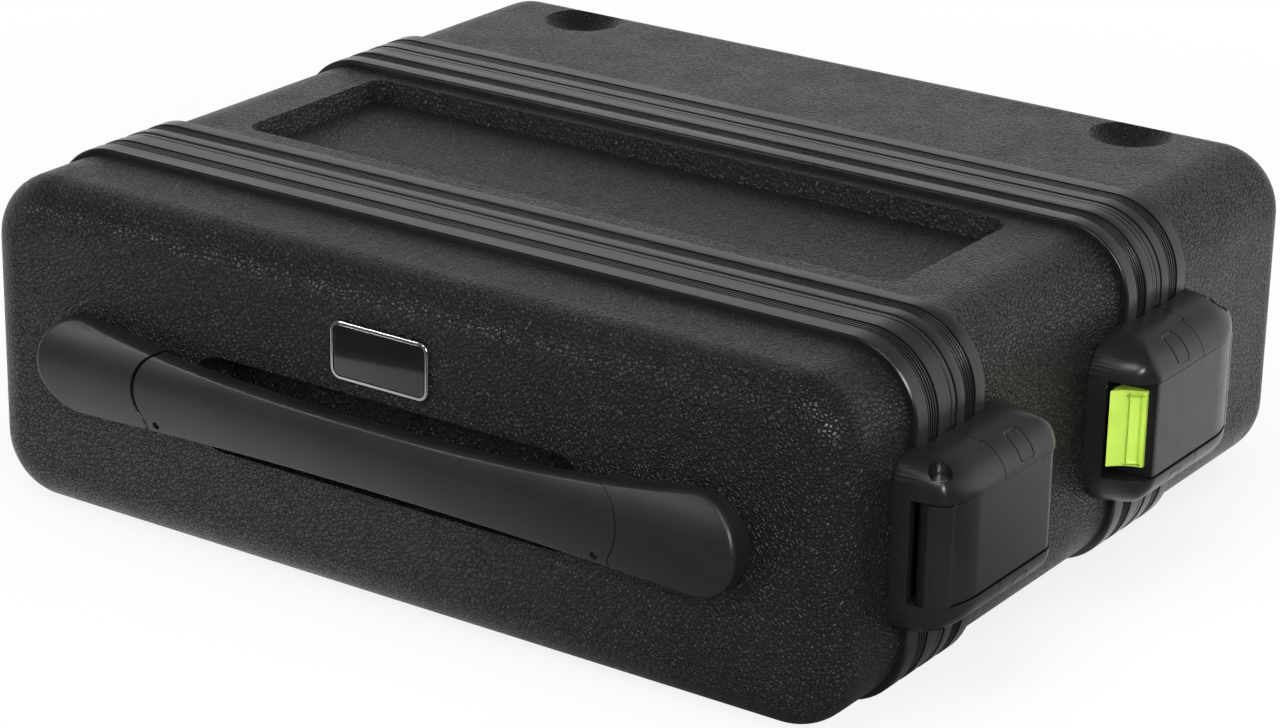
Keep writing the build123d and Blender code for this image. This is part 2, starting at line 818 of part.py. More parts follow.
def bay(width, height, y0, y1, x, z):
    """Space for one bay, with rounded corners."""
    space = block(x - width / 2, x + width / 2, y0, y1, z - height / 2, z + height / 2)
    return fillet(space.edges().filter_by(Axis.Y), bay_corner)


def body_foam():
    """Foam block in the body with a bay for a receiver and one for its accessories."""
    y0 = front_split + foam_set_back
    y1 = rear_split - foam_set_back
    blank = tube_section(foam_inset(), y0, y1) - panel(wall + foam_gap)
    bays = receiver_width + foam_rib + accessory_width
    receiver_x = (receiver_width - bays) / 2
    accessory_x = (bays - accessory_width) / 2
    blank -= bay(receiver_width, receiver_height, y0 - over, y1 + over, receiver_x, mid_z)
    return blank - bay(accessory_width, receiver_height, y0 - over, y1 + over, accessory_x, mid_z)


def front_cover_foam():
    """Foam pad in the front cover, hollowed behind the finger scoop, with one bay."""
    start = front_y + wall + foam_gap
    end = front_split - foam_set_back
    blank = tube_section(foam_inset(), start, end)
    blank = fillet(front_edges(blank), edge_radius - foam_inset())
    blank -= finger_dish(wall + foam_gap)
    for x, z in cap_screw_places():
        relief = start + cap_screw_head + seat_gap
        blank -= rod((x, start - over, z), (x, relief, z), cap_screw_head_radius + foam_gap)
    return blank - bay(receiver_width, receiver_height, end - front_bay_depth, end + over, 0, mid_z)


def rear_cover_foam():
    """Foam block in the rear cover with a microphone bay above a cable bay."""
    start = rear_split + foam_set_back
    end = rear_y - wall - foam_gap
    blank = tube_section(foam_inset(), start, end)
    blank = fillet(rear_edges(blank), edge_radius - foam_inset())
    blank -= dish(wall + foam_gap)
    bays = microphone_bay + foam_rib + cable_bay
    microphone_z = mid_z + (bays - microphone_bay) / 2
    cable_z = mid_z - (bays - cable_bay) / 2
    deep = start + microphone_depth
    blank -= bay(microphone_length, microphone_bay, start - over, deep, 0, microphone_z)
    return blank - bay(microphone_length, cable_bay, start - over, deep, 0, cable_z)


# ---------------------------------------------------------------------------
# Every node, and one STEP file for each
# ---------------------------------------------------------------------------
def build():
    """Every node by name."""
    nodes = {
        "body_shell": body_shell(),
        "body_foam": body_foam(),
        "front_cover_shell": front_cover_shell(),
        "front_cover_foam": front_cover_foam(),
        "rear_cover_shell": rear_cover_shell(),
        "rear_cover_foam": rear_cover_foam(),
        "badge_bezel": badge_bezel(),
        "badge_plate": badge_plate(),
        "handle_grip": handle_grip(),
        "handle_core": core_space(0),
        "handle_left_cap": handle_cap("left"),
        "handle_right_cap": handle_cap("right"),
        "handle_pivot_pins": Compound(pivot_rods(pivot_radius, 0)),
        "handle_screws": Compound(cap_screws()),
    }
    envelope = latch_envelope()
    pieces = {
        "hinge_base": hinge_base(envelope),
        "keeper_base": keeper_base(envelope),
        "keeper_plate": keeper_plate(),
        "lever": lever(),
        "trigger": trigger(),
        "trigger_spring": trigger_spring(),
        "hinge_pin": latch_pin(),
    }
    for end in ("front", "rear"):
        nodes[f"{end}_cover_band"] = cover_band(end)
        nodes[f"body_{end}_band"] = body_band(end)
        nodes[f"{end}_gasket"] = gasket(end)
        cover_rivets = []
        body_rivets = []
        for side in ("right", "left"):
            for name, shape in pieces.items():
                nodes[f"{end}_{side}_{name}"] = place_latch(shape, side, end)
            cover_rivets += [place_latch(r, side, end) for r in rivets(-hinge_rivet_back)]
            body_rivets += [place_latch(r, side, end) for r in rivets(keeper_rivet_ahead)]
        nodes[f"{end}_cover_rivets"] = Compound(cover_rivets)
        nodes[f"body_{end}_rivets"] = Compound(body_rivets)
    return nodes


os.makedirs("parts", exist_ok=True)
for node, shape in build().items():
    export_step(shape, f"parts/{node}.step")
    print(node, round(shape.volume / 1000, 2), "cm3")
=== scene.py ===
import json
import math
import bmesh
import bpy
from mathutils import Matrix, Vector


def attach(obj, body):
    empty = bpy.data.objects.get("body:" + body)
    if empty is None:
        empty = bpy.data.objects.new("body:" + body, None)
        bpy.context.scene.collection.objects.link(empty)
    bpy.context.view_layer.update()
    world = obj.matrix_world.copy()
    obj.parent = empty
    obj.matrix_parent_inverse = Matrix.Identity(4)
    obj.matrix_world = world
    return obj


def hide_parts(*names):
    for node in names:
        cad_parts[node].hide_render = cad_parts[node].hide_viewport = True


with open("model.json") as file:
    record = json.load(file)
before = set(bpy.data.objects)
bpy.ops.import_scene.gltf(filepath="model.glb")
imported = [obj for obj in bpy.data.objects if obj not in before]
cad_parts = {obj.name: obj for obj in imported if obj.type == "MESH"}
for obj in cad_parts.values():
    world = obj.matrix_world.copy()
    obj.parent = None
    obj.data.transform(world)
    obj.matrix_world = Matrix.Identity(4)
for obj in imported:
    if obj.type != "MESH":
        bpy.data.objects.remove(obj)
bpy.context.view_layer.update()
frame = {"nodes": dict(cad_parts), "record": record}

record = frame["record"]
nodeBody = {node: body for body, nodes in record["behaviour"]["bodies"].items() for node in nodes}
nodeSlot = {row["node"]: row["material_slot"] for row in record["subparts"]}
print("frame loaded:", len(nodeBody), "nodes")


def addNode(tree, kind, **settings):
    node = tree.nodes.new(kind)
    for name, value in settings.items():
        setattr(node, name, value)
    return node


def feed(tree, source, output, target, entry):
    tree.links.new(source.outputs[output], target.inputs[entry])


def startMaterial(name, look):
    material = bpy.data.materials.new(name)
    material.use_nodes = True
    tree = material.node_tree
    shader = tree.nodes["Principled BSDF"]
    shader.inputs["Metallic"].default_value = look.get("metallic", 0.0)
    shader.inputs["Specular IOR Level"].default_value = look.get("specular", 0.5)
    shader.inputs["Coat Weight"].default_value = look.get("coat", 0.0)
    shader.inputs["Coat Roughness"].default_value = look.get("coatRough", 0.1)
    coords = addNode(tree, "ShaderNodeTexCoord")
    return material, tree, shader, coords


def grainNoise(tree, coords, scale, detail, roughness=0.5, stretch=(1, 1, 1), distort=0.0):
    mapping = addNode(tree, "ShaderNodeMapping")
    mapping.inputs["Scale"].default_value = stretch
    feed(tree, coords, "Object", mapping, "Vector")
    noise = addNode(tree, "ShaderNodeTexNoise")
    noise.inputs["Scale"].default_value = scale
    noise.inputs["Detail"].default_value = detail
    noise.inputs["Roughness"].default_value = roughness
    noise.inputs["Distortion"].default_value = distort
    feed(tree, mapping, "Vector", noise, "Vector")
    return noise


def rangeOf(tree, source, output, fromRange, toRange, curve="LINEAR"):
    ranged = addNode(tree, "ShaderNodeMapRange", interpolation_type=curve)
    for name, value in zip(("From Min", "From Max", "To Min", "To Max"), (*fromRange, *toRange)):
        ranged.inputs[name].default_value = value
    feed(tree, source, output, ranged, "Value")
    return ranged


def spread(tree, noise, toRange):
    # a noise keeps to its middle values, so they are stretched over the range that a socket needs
    return rangeOf(tree, noise, "Fac", (0.3, 0.7), toRange)


def tint(tree, source, shader, darkColor, lightColor):
    # a mix node's inputs 6 and 7 and its output 2 are its colors
    mix = addNode(tree, "ShaderNodeMix", data_type="RGBA")
    mix.inputs[6].default_value = (*darkColor, 1)
    mix.inputs[7].default_value = (*lightColor, 1)
    feed(tree, source, "Result", mix, 0)
    feed(tree, mix, 2, shader, "Base Color")


def bumps(tree, shader, layers):
    # layers of (node, output, strength, height in metres), the coarsest first
    last = None
    for source, output, strength, height in layers:
        bump = addNode(tree, "ShaderNodeBump")
        bump.inputs["Strength"].default_value = strength
        bump.inputs["Distance"].default_value = height
        feed(tree, source, output, bump, "Height")
        if last:
            feed(tree, last, "Normal", bump, "Normal")
        last = bump
    feed(tree, last, "Normal", shader, "Normal")


def pebbleCells(tree, coords, look):
    # rounded cells with narrow valleys between them, their outlines bent by a slow noise
    slow = addNode(tree, "ShaderNodeTexNoise")
    slow.inputs["Scale"].default_value = look["warpScale"]
    feed(tree, coords, "Object", slow, "Vector")
    centred = addNode(tree, "ShaderNodeVectorMath", operation="SUBTRACT")
    centred.inputs[1].default_value = (0.5, 0.5, 0.5)
    feed(tree, slow, "Color", centred, 0)
    sized = addNode(tree, "ShaderNodeVectorMath", operation="SCALE")
    sized.inputs["Scale"].default_value = look["warp"]
    feed(tree, centred, "Vector", sized, 0)
    bent = addNode(tree, "ShaderNodeVectorMath", operation="ADD")
    feed(tree, coords, "Object", bent, 0)
    feed(tree, sized, "Vector", bent, 1)
    cells = addNode(tree, "ShaderNodeTexVoronoi", feature="DISTANCE_TO_EDGE")
    cells.inputs["Scale"].default_value = look["pebbleScale"]
    feed(tree, bent, "Vector", cells, "Vector")
    return rangeOf(tree, cells, "Distance", (0.0, look["valley"]), (0.0, 1.0), "SMOOTHSTEP")


def grainedPlastic(name, look):
    # moulded plastic: cloudy tone, uneven gloss, a grain or pebbles, a finer grain over it
    material, tree, shader, coords = startMaterial(name, look)
    cloud = grainNoise(tree, coords, look["cloudScale"], detail=3.0)
    tint(tree, spread(tree, cloud, (0.0, 1.0)), shader, look["dark"], look["light"])
    fine = grainNoise(tree, coords, look["fineScale"], detail=1.0)
    scuff = grainNoise(tree, coords, look["scuffScale"], detail=5.0, roughness=0.7,
                       stretch=look.get("scuffStretch", (1, 1, 1)))
    feed(tree, spread(tree, scuff, look["rough"]), "Result", shader, "Roughness")
    if "pebbleScale" in look:
        coarse = pebbleCells(tree, coords, look)
        coarseOut = "Result"
        # the valleys between the pebbles are duller than their tops
        shine = rangeOf(tree, coarse, "Result", (0.0, 1.0),
                        (look["valleyShine"], look["pebbleShine"]))
        feed(tree, shine, "Result", shader, "Specular IOR Level")
    else:
        coarse = grainNoise(tree, coords, look["grainScale"], detail=2.0, roughness=0.55,
                            distort=0.4)
        coarseOut = "Fac"
    bumps(tree, shader, [(coarse, coarseOut, look["grainStrength"], look["grainHeight"]),
                         (fine, "Fac", look["fineStrength"], look["fineHeight"])])
    return material


shellLook = {"dark": (0.0060, 0.0060, 0.0064), "light": (0.0095, 0.0095, 0.0100),
             "rough": (0.30, 0.42), "specular": 0.5,
             "cloudScale": 14, "fineScale": 2600, "scuffScale": 45,
             "pebbleScale": 640, "warpScale": 400, "warp": 0.0012, "valley": 0.26,
             "valleyShine": 0.18, "pebbleShine": 0.62,
             "grainStrength": 1.0, "grainHeight": 0.00042,
             "fineStrength": 0.7, "fineHeight": 0.00012}
bandLook = {"dark": (0.0060, 0.0060, 0.0062), "light": (0.0090, 0.0090, 0.0094),
            "rough": (0.26, 0.36), "specular": 0.5,
            "cloudScale": 25, "grainScale": 260, "fineScale": 3200, "scuffScale": 60,
            "scuffStretch": (0.25, 3, 0.25),
            "grainStrength": 0.05, "grainHeight": 0.0003,
            "fineStrength": 0.12, "fineHeight": 0.00003}
latchLook = {"dark": (0.0075, 0.0070, 0.0074), "light": (0.0115, 0.0108, 0.0112),
             "rough": (0.26, 0.36), "specular": 0.5,
             "cloudScale": 40, "grainScale": 1500, "fineScale": 4600, "scuffScale": 120,
             "grainStrength": 0.10, "grainHeight": 0.00008,
             "fineStrength": 0.10, "fineHeight": 0.00003}
gripLook = {"dark": (0.0090, 0.0088, 0.0092), "light": (0.0125, 0.0122, 0.0126),
            "rough": (0.34, 0.44), "specular": 0.5,
            "cloudScale": 30, "grainScale": 1700, "fineScale": 5000, "scuffScale": 80,
            "scuffStretch": (0.4, 1, 1.6),
            "grainStrength": 0.10, "grainHeight": 0.00008,
            "fineStrength": 0.1, "fineHeight": 0.00003}
triggerLook = {"dark": (0.46, 0.68, 0.075), "light": (0.54, 0.76, 0.10),
               "rough": (0.28, 0.36), "specular": 0.5,
               "cloudScale": 90, "grainScale": 1400, "fineScale": 4000, "scuffScale": 200,
               "grainStrength": 0.05, "grainHeight": 0.0001,
               "fineStrength": 0.05, "fineHeight": 0.00003}
rubberLook = {"dark": (0.010, 0.010, 0.010), "light": (0.02, 0.02, 0.02),
              "rough": (0.6, 0.75), "specular": 0.3,
              "cloudScale": 60, "grainScale": 900, "fineScale": 3000, "scuffScale": 100,
              "grainStrength": 0.2, "grainHeight": 0.0001,
              "fineStrength": 0.2, "fineHeight": 0.00005}
badgeLook = {"dark": (0.004, 0.004, 0.0045), "light": (0.007, 0.007, 0.0075),
             "rough": (0.05, 0.09), "specular": 0.5, "coat": 1.0, "coatRough": 0.03,
             "cloudScale": 50, "grainScale": 90, "fineScale": 900, "scuffScale": 300,
             "grainStrength": 0.02, "grainHeight": 0.0003,
             "fineStrength": 0.01, "fineHeight": 0.00003}
chromeLook = {"dark": (0.62, 0.62, 0.64), "light": (0.74, 0.74, 0.76),
              "rough": (0.10, 0.18), "metallic": 1.0,
              "cloudScale": 60, "grainScale": 900, "fineScale": 4000, "scuffScale": 400,
              "grainStrength": 0.03, "grainHeight": 0.00005,
              "fineStrength": 0.03, "fineHeight": 0.00002}
steelLook = {"dark": (0.40, 0.40, 0.41), "light": (0.55, 0.55, 0.56),
             "rough": (0.26, 0.42), "metallic": 1.0,
             "cloudScale": 80, "grainScale": 700, "fineScale": 3000, "scuffScale": 500,
             "grainStrength": 0.1, "grainHeight": 0.00005,
             "fineStrength": 0.1, "fineHeight": 0.00002}
foamLook = {"dark": (0.018, 0.018, 0.020), "light": (0.035, 0.035, 0.038),
            "rough": (0.85, 0.95), "specular": 0.2,
            "cloudScale": 20, "fineScale": 2600, "scuffScale": 30,
            "pebbleScale": 700, "warpScale": 300, "warp": 0.001, "valley": 0.3,
            "valleyShine": 0.05, "pebbleShine": 0.2,
            "grainStrength": 0.7, "grainHeight": 0.0004,
            "fineStrength": 0.6, "fineHeight": 0.0003}

finishes = {
    "moulded_shell": grainedPlastic("pebbledPolyethylene", shellLook),
    "band": grainedPlastic("groovedBandPlastic", bandLook),
    "latch_plastic": grainedPlastic("satinLatchNylon", latchLook),
    "handle_plastic": grainedPlastic("capPlastic", gripLook),
    "grip_plastic": grainedPlastic("gripPlastic", gripLook),
    "trigger_green": grainedPlastic("limeTrigger", triggerLook),
    "gasket": grainedPlastic("gasketRubber", rubberLook),
    "badge_face": grainedPlastic("blackDome", badgeLook),
    "badge_rim": grainedPlastic("brightRim", chromeLook),
    "rivet_steel": grainedPlastic("rivetSteel", steelLook),
    "steel": grainedPlastic("platedSteel", steelLook),
    "foam": grainedPlastic("closedCellFoam", foamLook),
}
print("finishes made")


# width and segments of the rounding that each slot's hard edges get
softEdges = {"moulded_shell": (0.0018, 3), "band": (0.00025, 1), "latch_plastic": (0.0006, 2),
             "handle_plastic": (0.0005, 2), "grip_plastic": (0.0005, 2),
             "trigger_green": (0.0006, 3), "foam": (0.002, 3)}
# merge distances in metres, angles in degrees
cleanUp = {"merge": 0.000001, "flatAngle": 0.8, "hardAngle": 28,
           "trimMerge": 0.000002, "trimSharpAngle": 30}


def addObject(name, data):
    added = bpy.data.objects.new(name, data)
    bpy.context.scene.collection.objects.link(added)
    return added


def flatNormals(piece):
    weighted = piece.modifiers.new("flatNormals", "WEIGHTED_NORMAL")
    weighted.keep_sharp = True


def softCopy(nodeName, width, segments):
    # a merged copy of a node with its hard edges rounded, which stands for the node
    mesh = bpy.data.meshes.new(nodeName + "_soft")
    flatAngle, hardAngle = math.radians(cleanUp["flatAngle"]), math.radians(cleanUp["hardAngle"])
    bm = bmesh.new()
    bm.from_mesh(frame["nodes"][nodeName].data)
    bmesh.ops.remove_doubles(bm, verts=bm.verts, dist=cleanUp["merge"])
    bmesh.ops.dissolve_limit(bm, angle_limit=flatAngle, verts=bm.verts, edges=bm.edges)
    hard = [e for e in bm.edges if len(e.link_faces) == 2 and e.calc_face_angle(0) > hardAngle]
    bmesh.ops.bevel(bm, geom=hard, offset=width, offset_type="OFFSET", segments=segments,
                    profile=0.5, affect="EDGES", clamp_overlap=True, material=-1)
    bm.to_mesh(mesh)
    bm.free()
    mesh.shade_smooth()
    piece = addObject(nodeName + "_soft", mesh)
    flatNormals(piece)
    return piece


def dressNode(nodeName):
    slotName = nodeSlot[nodeName]
    if slotName not in softEdges:
        target = frame["nodes"][nodeName]
        target.data.materials.clear()
        target.data.materials.append(finishes[slotName])
        return
    piece = softCopy(nodeName, *softEdges[slotName])
    piece.data.materials.append(finishes[slotName])
    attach(piece, nodeBody[nodeName])
    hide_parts(nodeName)


for nodeName in sorted(nodeBody):
    dressNode(nodeName)
print("pieces dressed")


# sign of Y from the joint of the shells towards a latch's trigger, and sign of X of each side
endSigns = {"front": 1, "rear": -1}
sideSigns = {"right": 1, "left": -1}

# lengths run along Y from the joint of two shells, up from the middle, and out from the wall
latchShape = {"wall": 0.185, "middle": 0.0654, "half": 0.03285, "top": 0.02305,
              "hingeEnd": 0.033, "hingeNose": 0.021, "hingeCorner": 0.012, "noseRoot": 0.0135,
              "triggerEnd": 0.046, "triggerNose": 0.013, "triggerCorner": 0.019,
              "dome": 0.0145, "domeTop": 0.02365, "edge": 0.0035, "power": 1.35,
              "lipAt": 0.018, "lip": 0.0005,
              "cell": 0.00065, "margin": 0.0005, "lowest": -0.002, "root": -0.006}
cheekMark = {"middle": (0.0165, 0.0248), "half": (0.0043, 0.0042), "corner": 0.0016,
             "line": 0.00028, "depth": 0.00035, "cell": 0.00021, "fineHalf": (0.0053, 0.0052)}


def markDrop(along, up):
    # depth of the thin sunk outline at a place on the cheek
    mark = cheekMark
    outAlong = abs(along - mark["middle"][0]) - mark["half"][0] + mark["corner"]
    outUp = abs(up - mark["middle"][1]) - mark["half"][1] + mark["corner"]
    outside = math.hypot(max(outAlong, 0), max(outUp, 0))
    away = outside + min(max(outAlong, outUp), 0) - mark["corner"]
    return mark["depth"] * max(0.0, 1.0 - (away / mark["line"]) ** 2)


def arcDrop(share):
    # how far a quarter round has dropped at a share of its length
    share = min(max(share, 0.0), 1.0)
    return 1.0 - math.sqrt(1.0 - share * share)


def latchHeight(along, up):
    # stand of a latch's smooth outside from the wall, where nose, dome and rim run into each other
    s = latchShape
    up = abs(up)
    if along < 0:
        end, corner = s["hingeEnd"], s["hingeCorner"]
        inNose = -along - end + s["hingeNose"]
        nose = (s["top"] - s["noseRoot"]) * arcDrop(inNose / s["hingeNose"])
    else:
        end, corner = s["triggerEnd"], s["triggerCorner"]
        nose = s["top"] * arcDrop((along - end + s["triggerNose"]) / s["triggerNose"])
    dome = s["domeTop"] * arcDrop((up - s["half"] + s["dome"]) / s["dome"])
    cornerAlong = abs(along) - (end - corner)
    cornerUp = up - (s["half"] - corner)
    if cornerAlong > 0 and cornerUp > 0:
        inward = corner - math.hypot(cornerAlong, cornerUp)
    else:
        inward = min(end - abs(along), s["half"] - up)
    rim = s["top"] * arcDrop(1.0 - inward / s["edge"])
    lip = s["lip"] * arcDrop(1.0 - (up - s["lipAt"]) / s["lip"])
    drop = (nose ** s["power"] + dome ** s["power"] + rim ** s["power"]) ** (1.0 / s["power"])
    return max(s["top"] - drop - lip - markDrop(along, up), s["lowest"])


def stationsAlong(first, last, fineMiddles, fineHalf):
    # lines of the grid, set closer round the marks
    places = []
    place = first
    while place < last:
        places.append(place)
        near = any(abs(place - middle) < fineHalf for middle in fineMiddles)
        place += cheekMark["cell"] if near else latchShape["cell"]
    return places + [last]


def smoothLatch(split, endSign, sideSign):
    # closed solid of one latch's smooth outside, used to trim the two halves of its base
    s = latchShape
    markAlong, markUp = cheekMark["middle"]
    lipMiddle = s["lipAt"] + s["lip"] / 2
    fineMiddles = [-markUp, markUp, lipMiddle, -lipMiddle]
    rows = stationsAlong(-s["hingeEnd"] - s["margin"], s["triggerEnd"] + s["margin"],
                         [markAlong], cheekMark["fineHalf"][0])
    columns = stationsAlong(-s["half"] - s["margin"], s["half"] + s["margin"],
                            fineMiddles, cheekMark["fineHalf"][1])
    lastRow, lastColumn = len(rows) - 1, len(columns) - 1
    mesh = bpy.data.meshes.new("latchOutside")
    bm = bmesh.new()
    bmesh.ops.create_grid(bm, x_segments=lastRow, y_segments=lastColumn, size=1.0)
    for vert in bm.verts:
        along = rows[round((vert.co.x + 1) / 2 * lastRow)]
        up = columns[round((vert.co.y + 1) / 2 * lastColumn)]
        stand = s["wall"] + latchHeight(along, up)
        vert.co = (sideSign * stand, split + endSign * along, s["middle"] + up)
    extruded = bmesh.ops.extrude_face_region(bm, geom=bm.faces[:])
    for item in extruded["geom"]:
        if isinstance(item, bmesh.types.BMVert):
            item.co.x = sideSign * (s["wall"] + s["root"])
    # the second material tells the cut faces from the base's own after the trim
    for face in bm.faces:
        face.material_index = 1
    bmesh.ops.recalc_face_normals(bm, faces=bm.faces)
    bm.to_mesh(mesh)
    bm.free()
    mesh.materials.append(finishes["latch_plastic"])
    mesh.materials.append(finishes["latch_plastic"])
    return addObject("latchOutside", mesh)


def trimToOutside(piece, outside):
    # cuts a latch base's look back to the smooth outside and keeps its cut rims crisp
    piece.data.materials.append(finishes["latch_plastic"])
    cut = piece.modifiers.new("trim", "BOOLEAN")
    cut.operation = "INTERSECT"
    cut.solver = "EXACT"
    cut.object = outside
    piece.modifiers.move(len(piece.modifiers) - 1, 0)
    # the trim alone is baked in, and the normals stay a live modifier
    piece.modifiers["flatNormals"].show_viewport = False
    graph = bpy.context.evaluated_depsgraph_get()
    trimmed = bpy.data.meshes.new_from_object(piece.evaluated_get(graph))
    piece.modifiers.remove(cut)
    piece.modifiers["flatNormals"].show_viewport = True
    piece.data = trimmed
    bm = bmesh.new()
    bm.from_mesh(trimmed)
    bmesh.ops.remove_doubles(bm, verts=bm.verts, dist=cleanUp["trimMerge"])
    sharpAngle = math.radians(cleanUp["trimSharpAngle"])
    for edge in bm.edges:
        linked = edge.link_faces
        if len(linked) == 2 and edge.calc_face_angle(0) > sharpAngle:
            edge.smooth = linked[0].material_index == 1 and linked[1].material_index == 1
    for face in bm.faces:
        face.material_index = 0
        face.smooth = True
    bm.to_mesh(trimmed)
    bm.free()


# Y of the joint of two shells at each end, found from its hinge base
splits = {}
for end, endSign in endSigns.items():
    hingeBase = frame["nodes"][end + "_right_hinge_base"]
    corners = [hingeBase.matrix_world @ vert.co for vert in hingeBase.data.vertices]
    hingeEdge = min(endSign * corner.y for corner in corners)
    splits[end] = endSign * (hingeEdge + latchShape["hingeEnd"])
    for side, sideSign in sideSigns.items():
        outside = smoothLatch(splits[end], endSign, sideSign)
        for half in ("hinge_base", "keeper_base"):
            trimToOutside(bpy.data.objects[f"{end}_{side}_{half}_soft"], outside)
        bpy.data.objects.remove(outside)
print("latch noses smoothed")


# foot and top are the ends of a trigger's face, out from the wall and along Y from the joint
thumbBar = {"foot": (0.0080, 0.0434), "top": (0.0189, 0.0364), "fromTop": 0.0038,
            "length": 0.0042, "thick": 0.0026, "proud": -0.0001, "half": 0.0128,
            "edge": 0.0009, "segments": 3}


def makeThumbBar(end, side):
    # bar along the outer part of a trigger's face, just under its outline
    low, high = Vector(thumbBar["foot"]), Vector(thumbBar["top"])
    slope = (high - low).normalized()
    outward = Vector((-slope.y, slope.x))
    depth = thumbBar["proud"] - thumbBar["thick"] / 2
    middle = high - slope * thumbBar["fromTop"] + outward * depth
    bm = bmesh.new()
    bmesh.ops.create_cube(bm, size=1.0)
    for vert in bm.verts:
        flat = (middle + slope * vert.co.x * thumbBar["length"]
                + outward * vert.co.y * thumbBar["thick"])
        vert.co = (sideSigns[side] * (latchShape["wall"] + flat.x),
                   splits[end] + endSigns[end] * flat.y,
                   latchShape["middle"] + vert.co.z * 2 * thumbBar["half"])
    bmesh.ops.bevel(bm, geom=bm.edges[:], offset=thumbBar["edge"], offset_type="OFFSET",
                    segments=thumbBar["segments"], profile=0.5, affect="EDGES",
                    clamp_overlap=True, material=-1)
    bmesh.ops.recalc_face_normals(bm, faces=bm.faces)
    mesh = bpy.data.meshes.new("thumbBar")
    bm.to_mesh(mesh)
    bm.free()
    mesh.shade_smooth()
    mesh.materials.append(finishes["trigger_green"])
    bar = addObject(f"{end}_{side}_thumb_bar", mesh)
    flatNormals(bar)
    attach(bar, f"{end}_{side}_trigger")


for end in endSigns:
    for side in sideSigns:
        makeThumbBar(end, side)
print("thumb bars made")


# a "way" is a direction, and its "edge" is the range along it over which the light changes
studio = {"floorAcross": 0.72, "floorDeep": 0.56, "floorMiddle": (0.0, 0.19, 0.0), "floorSides": 96,
          "floorTone": 0.86, "floorRough": 0.8, "floorShine": 0.2,
          "floorLift": 0.82, "fadeFrom": 0.45, "fadeTo": 0.97,
          "mirrorShare": 0.9, "shadeWay": (1.0, -1.0, 0.0), "shadeEdge": (0.08, 0.32),
          "shadeTone": (1.0, 0.06), "worldLight": 0.42, "darkSide": 0.06,
          "backdropWay": (-0.25, 0.97, 0.0), "backdropEdge": (-0.05, 0.45),
          "backdropTop": (0.30, 0.62), "lampsRound": (0.0, 0.0, 0.06)}


def joined(tree, operation, first, firstOut, second, secondOut):
    result = addNode(tree, "ShaderNodeMath", operation=operation)
    feed(tree, first, firstOut, result, 0)
    feed(tree, second, secondOut, result, 1)
    return result


def reachOf(tree, source, output, way):
    # how far a point or a direction reaches one way
    reach = addNode(tree, "ShaderNodeVectorMath", operation="DOT_PRODUCT")
    reach.inputs[1].default_value = way
    feed(tree, source, output, reach, 0)
    return reach


def makeFloor():
    # an oval of pale floor that fades to plain white at its rim
    bm = bmesh.new()
    oval = Matrix.Diagonal((studio["floorAcross"], studio["floorDeep"], 1, 1))
    bmesh.ops.create_circle(bm, cap_ends=True, segments=studio["floorSides"], radius=1.0,
                            matrix=Matrix.Translation(studio["floorMiddle"]) @ oval)
    mesh = bpy.data.meshes.new("studioFloor")
    bm.to_mesh(mesh)
    bm.free()
    floor = addObject("studioFloor", mesh)
    material = bpy.data.materials.new("paleFloor")
    material.use_nodes = True
    tree = material.node_tree
    shader = tree.nodes["Principled BSDF"]
    shader.inputs["Base Color"].default_value = (*[studio["floorTone"]] * 3, 1)
    shader.inputs["Roughness"].default_value = studio["floorRough"]
    shader.inputs["Specular IOR Level"].default_value = studio["floorShine"]
    coords = addNode(tree, "ShaderNodeTexCoord")
    offset = addNode(tree, "ShaderNodeVectorMath", operation="SUBTRACT")
    offset.inputs[1].default_value = studio["floorMiddle"]
    feed(tree, coords, "Object", offset, 0)
    scaled = addNode(tree, "ShaderNodeVectorMath", operation="DIVIDE")
    scaled.inputs[1].default_value = (studio["floorAcross"], studio["floorDeep"], 1)
    feed(tree, offset, "Vector", scaled, 0)
    radius = addNode(tree, "ShaderNodeVectorMath", operation="LENGTH")
    feed(tree, scaled, "Vector", radius, 0)
    lift = rangeOf(tree, radius, "Value", (studio["fadeFrom"], studio["fadeTo"]),
                   (studio["floorLift"], 1.0), "SMOOTHSTEP")
    path = addNode(tree, "ShaderNodeLightPath")
    seen = joined(tree, "MAXIMUM", path, "Is Camera Ray", path, "Is Transmission Ray")
    watched = joined(tree, "MULTIPLY", seen, 0, lift, "Result")
    mirrored = addNode(tree, "ShaderNodeMath", operation="MULTIPLY")
    mirrored.inputs[1].default_value = studio["mirrorShare"]
    feed(tree, path, "Is Glossy Ray", mirrored, 0)
    share = joined(tree, "MAXIMUM", watched, 0, mirrored, 0)
    # painted shade: reflections see the floor glow, and the glow is painted to fall into shade
    # towards the front right
    falling = reachOf(tree, coords, "Object", studio["shadeWay"])
    shade = rangeOf(tree, falling, "Value", studio["shadeEdge"], studio["shadeTone"], "SMOOTHSTEP")
    strength = addNode(tree, "ShaderNodeMix", data_type="FLOAT")
    strength.inputs[2].default_value = 1.0
    feed(tree, path, "Is Glossy Ray", strength, 0)
    feed(tree, shade, "Result", strength, 3)
    glow = addNode(tree, "ShaderNodeEmission")
    feed(tree, strength, 0, glow, "Strength")
    mix = addNode(tree, "ShaderNodeMixShader")
    feed(tree, share, 0, mix, 0)
    tree.links.new(shader.outputs["BSDF"], mix.inputs[1])
    tree.links.new(glow.outputs["Emission"], mix.inputs[2])
    tree.links.new(mix.outputs[0], tree.nodes["Material Output"].inputs["Surface"])
    mesh.materials.append(material)


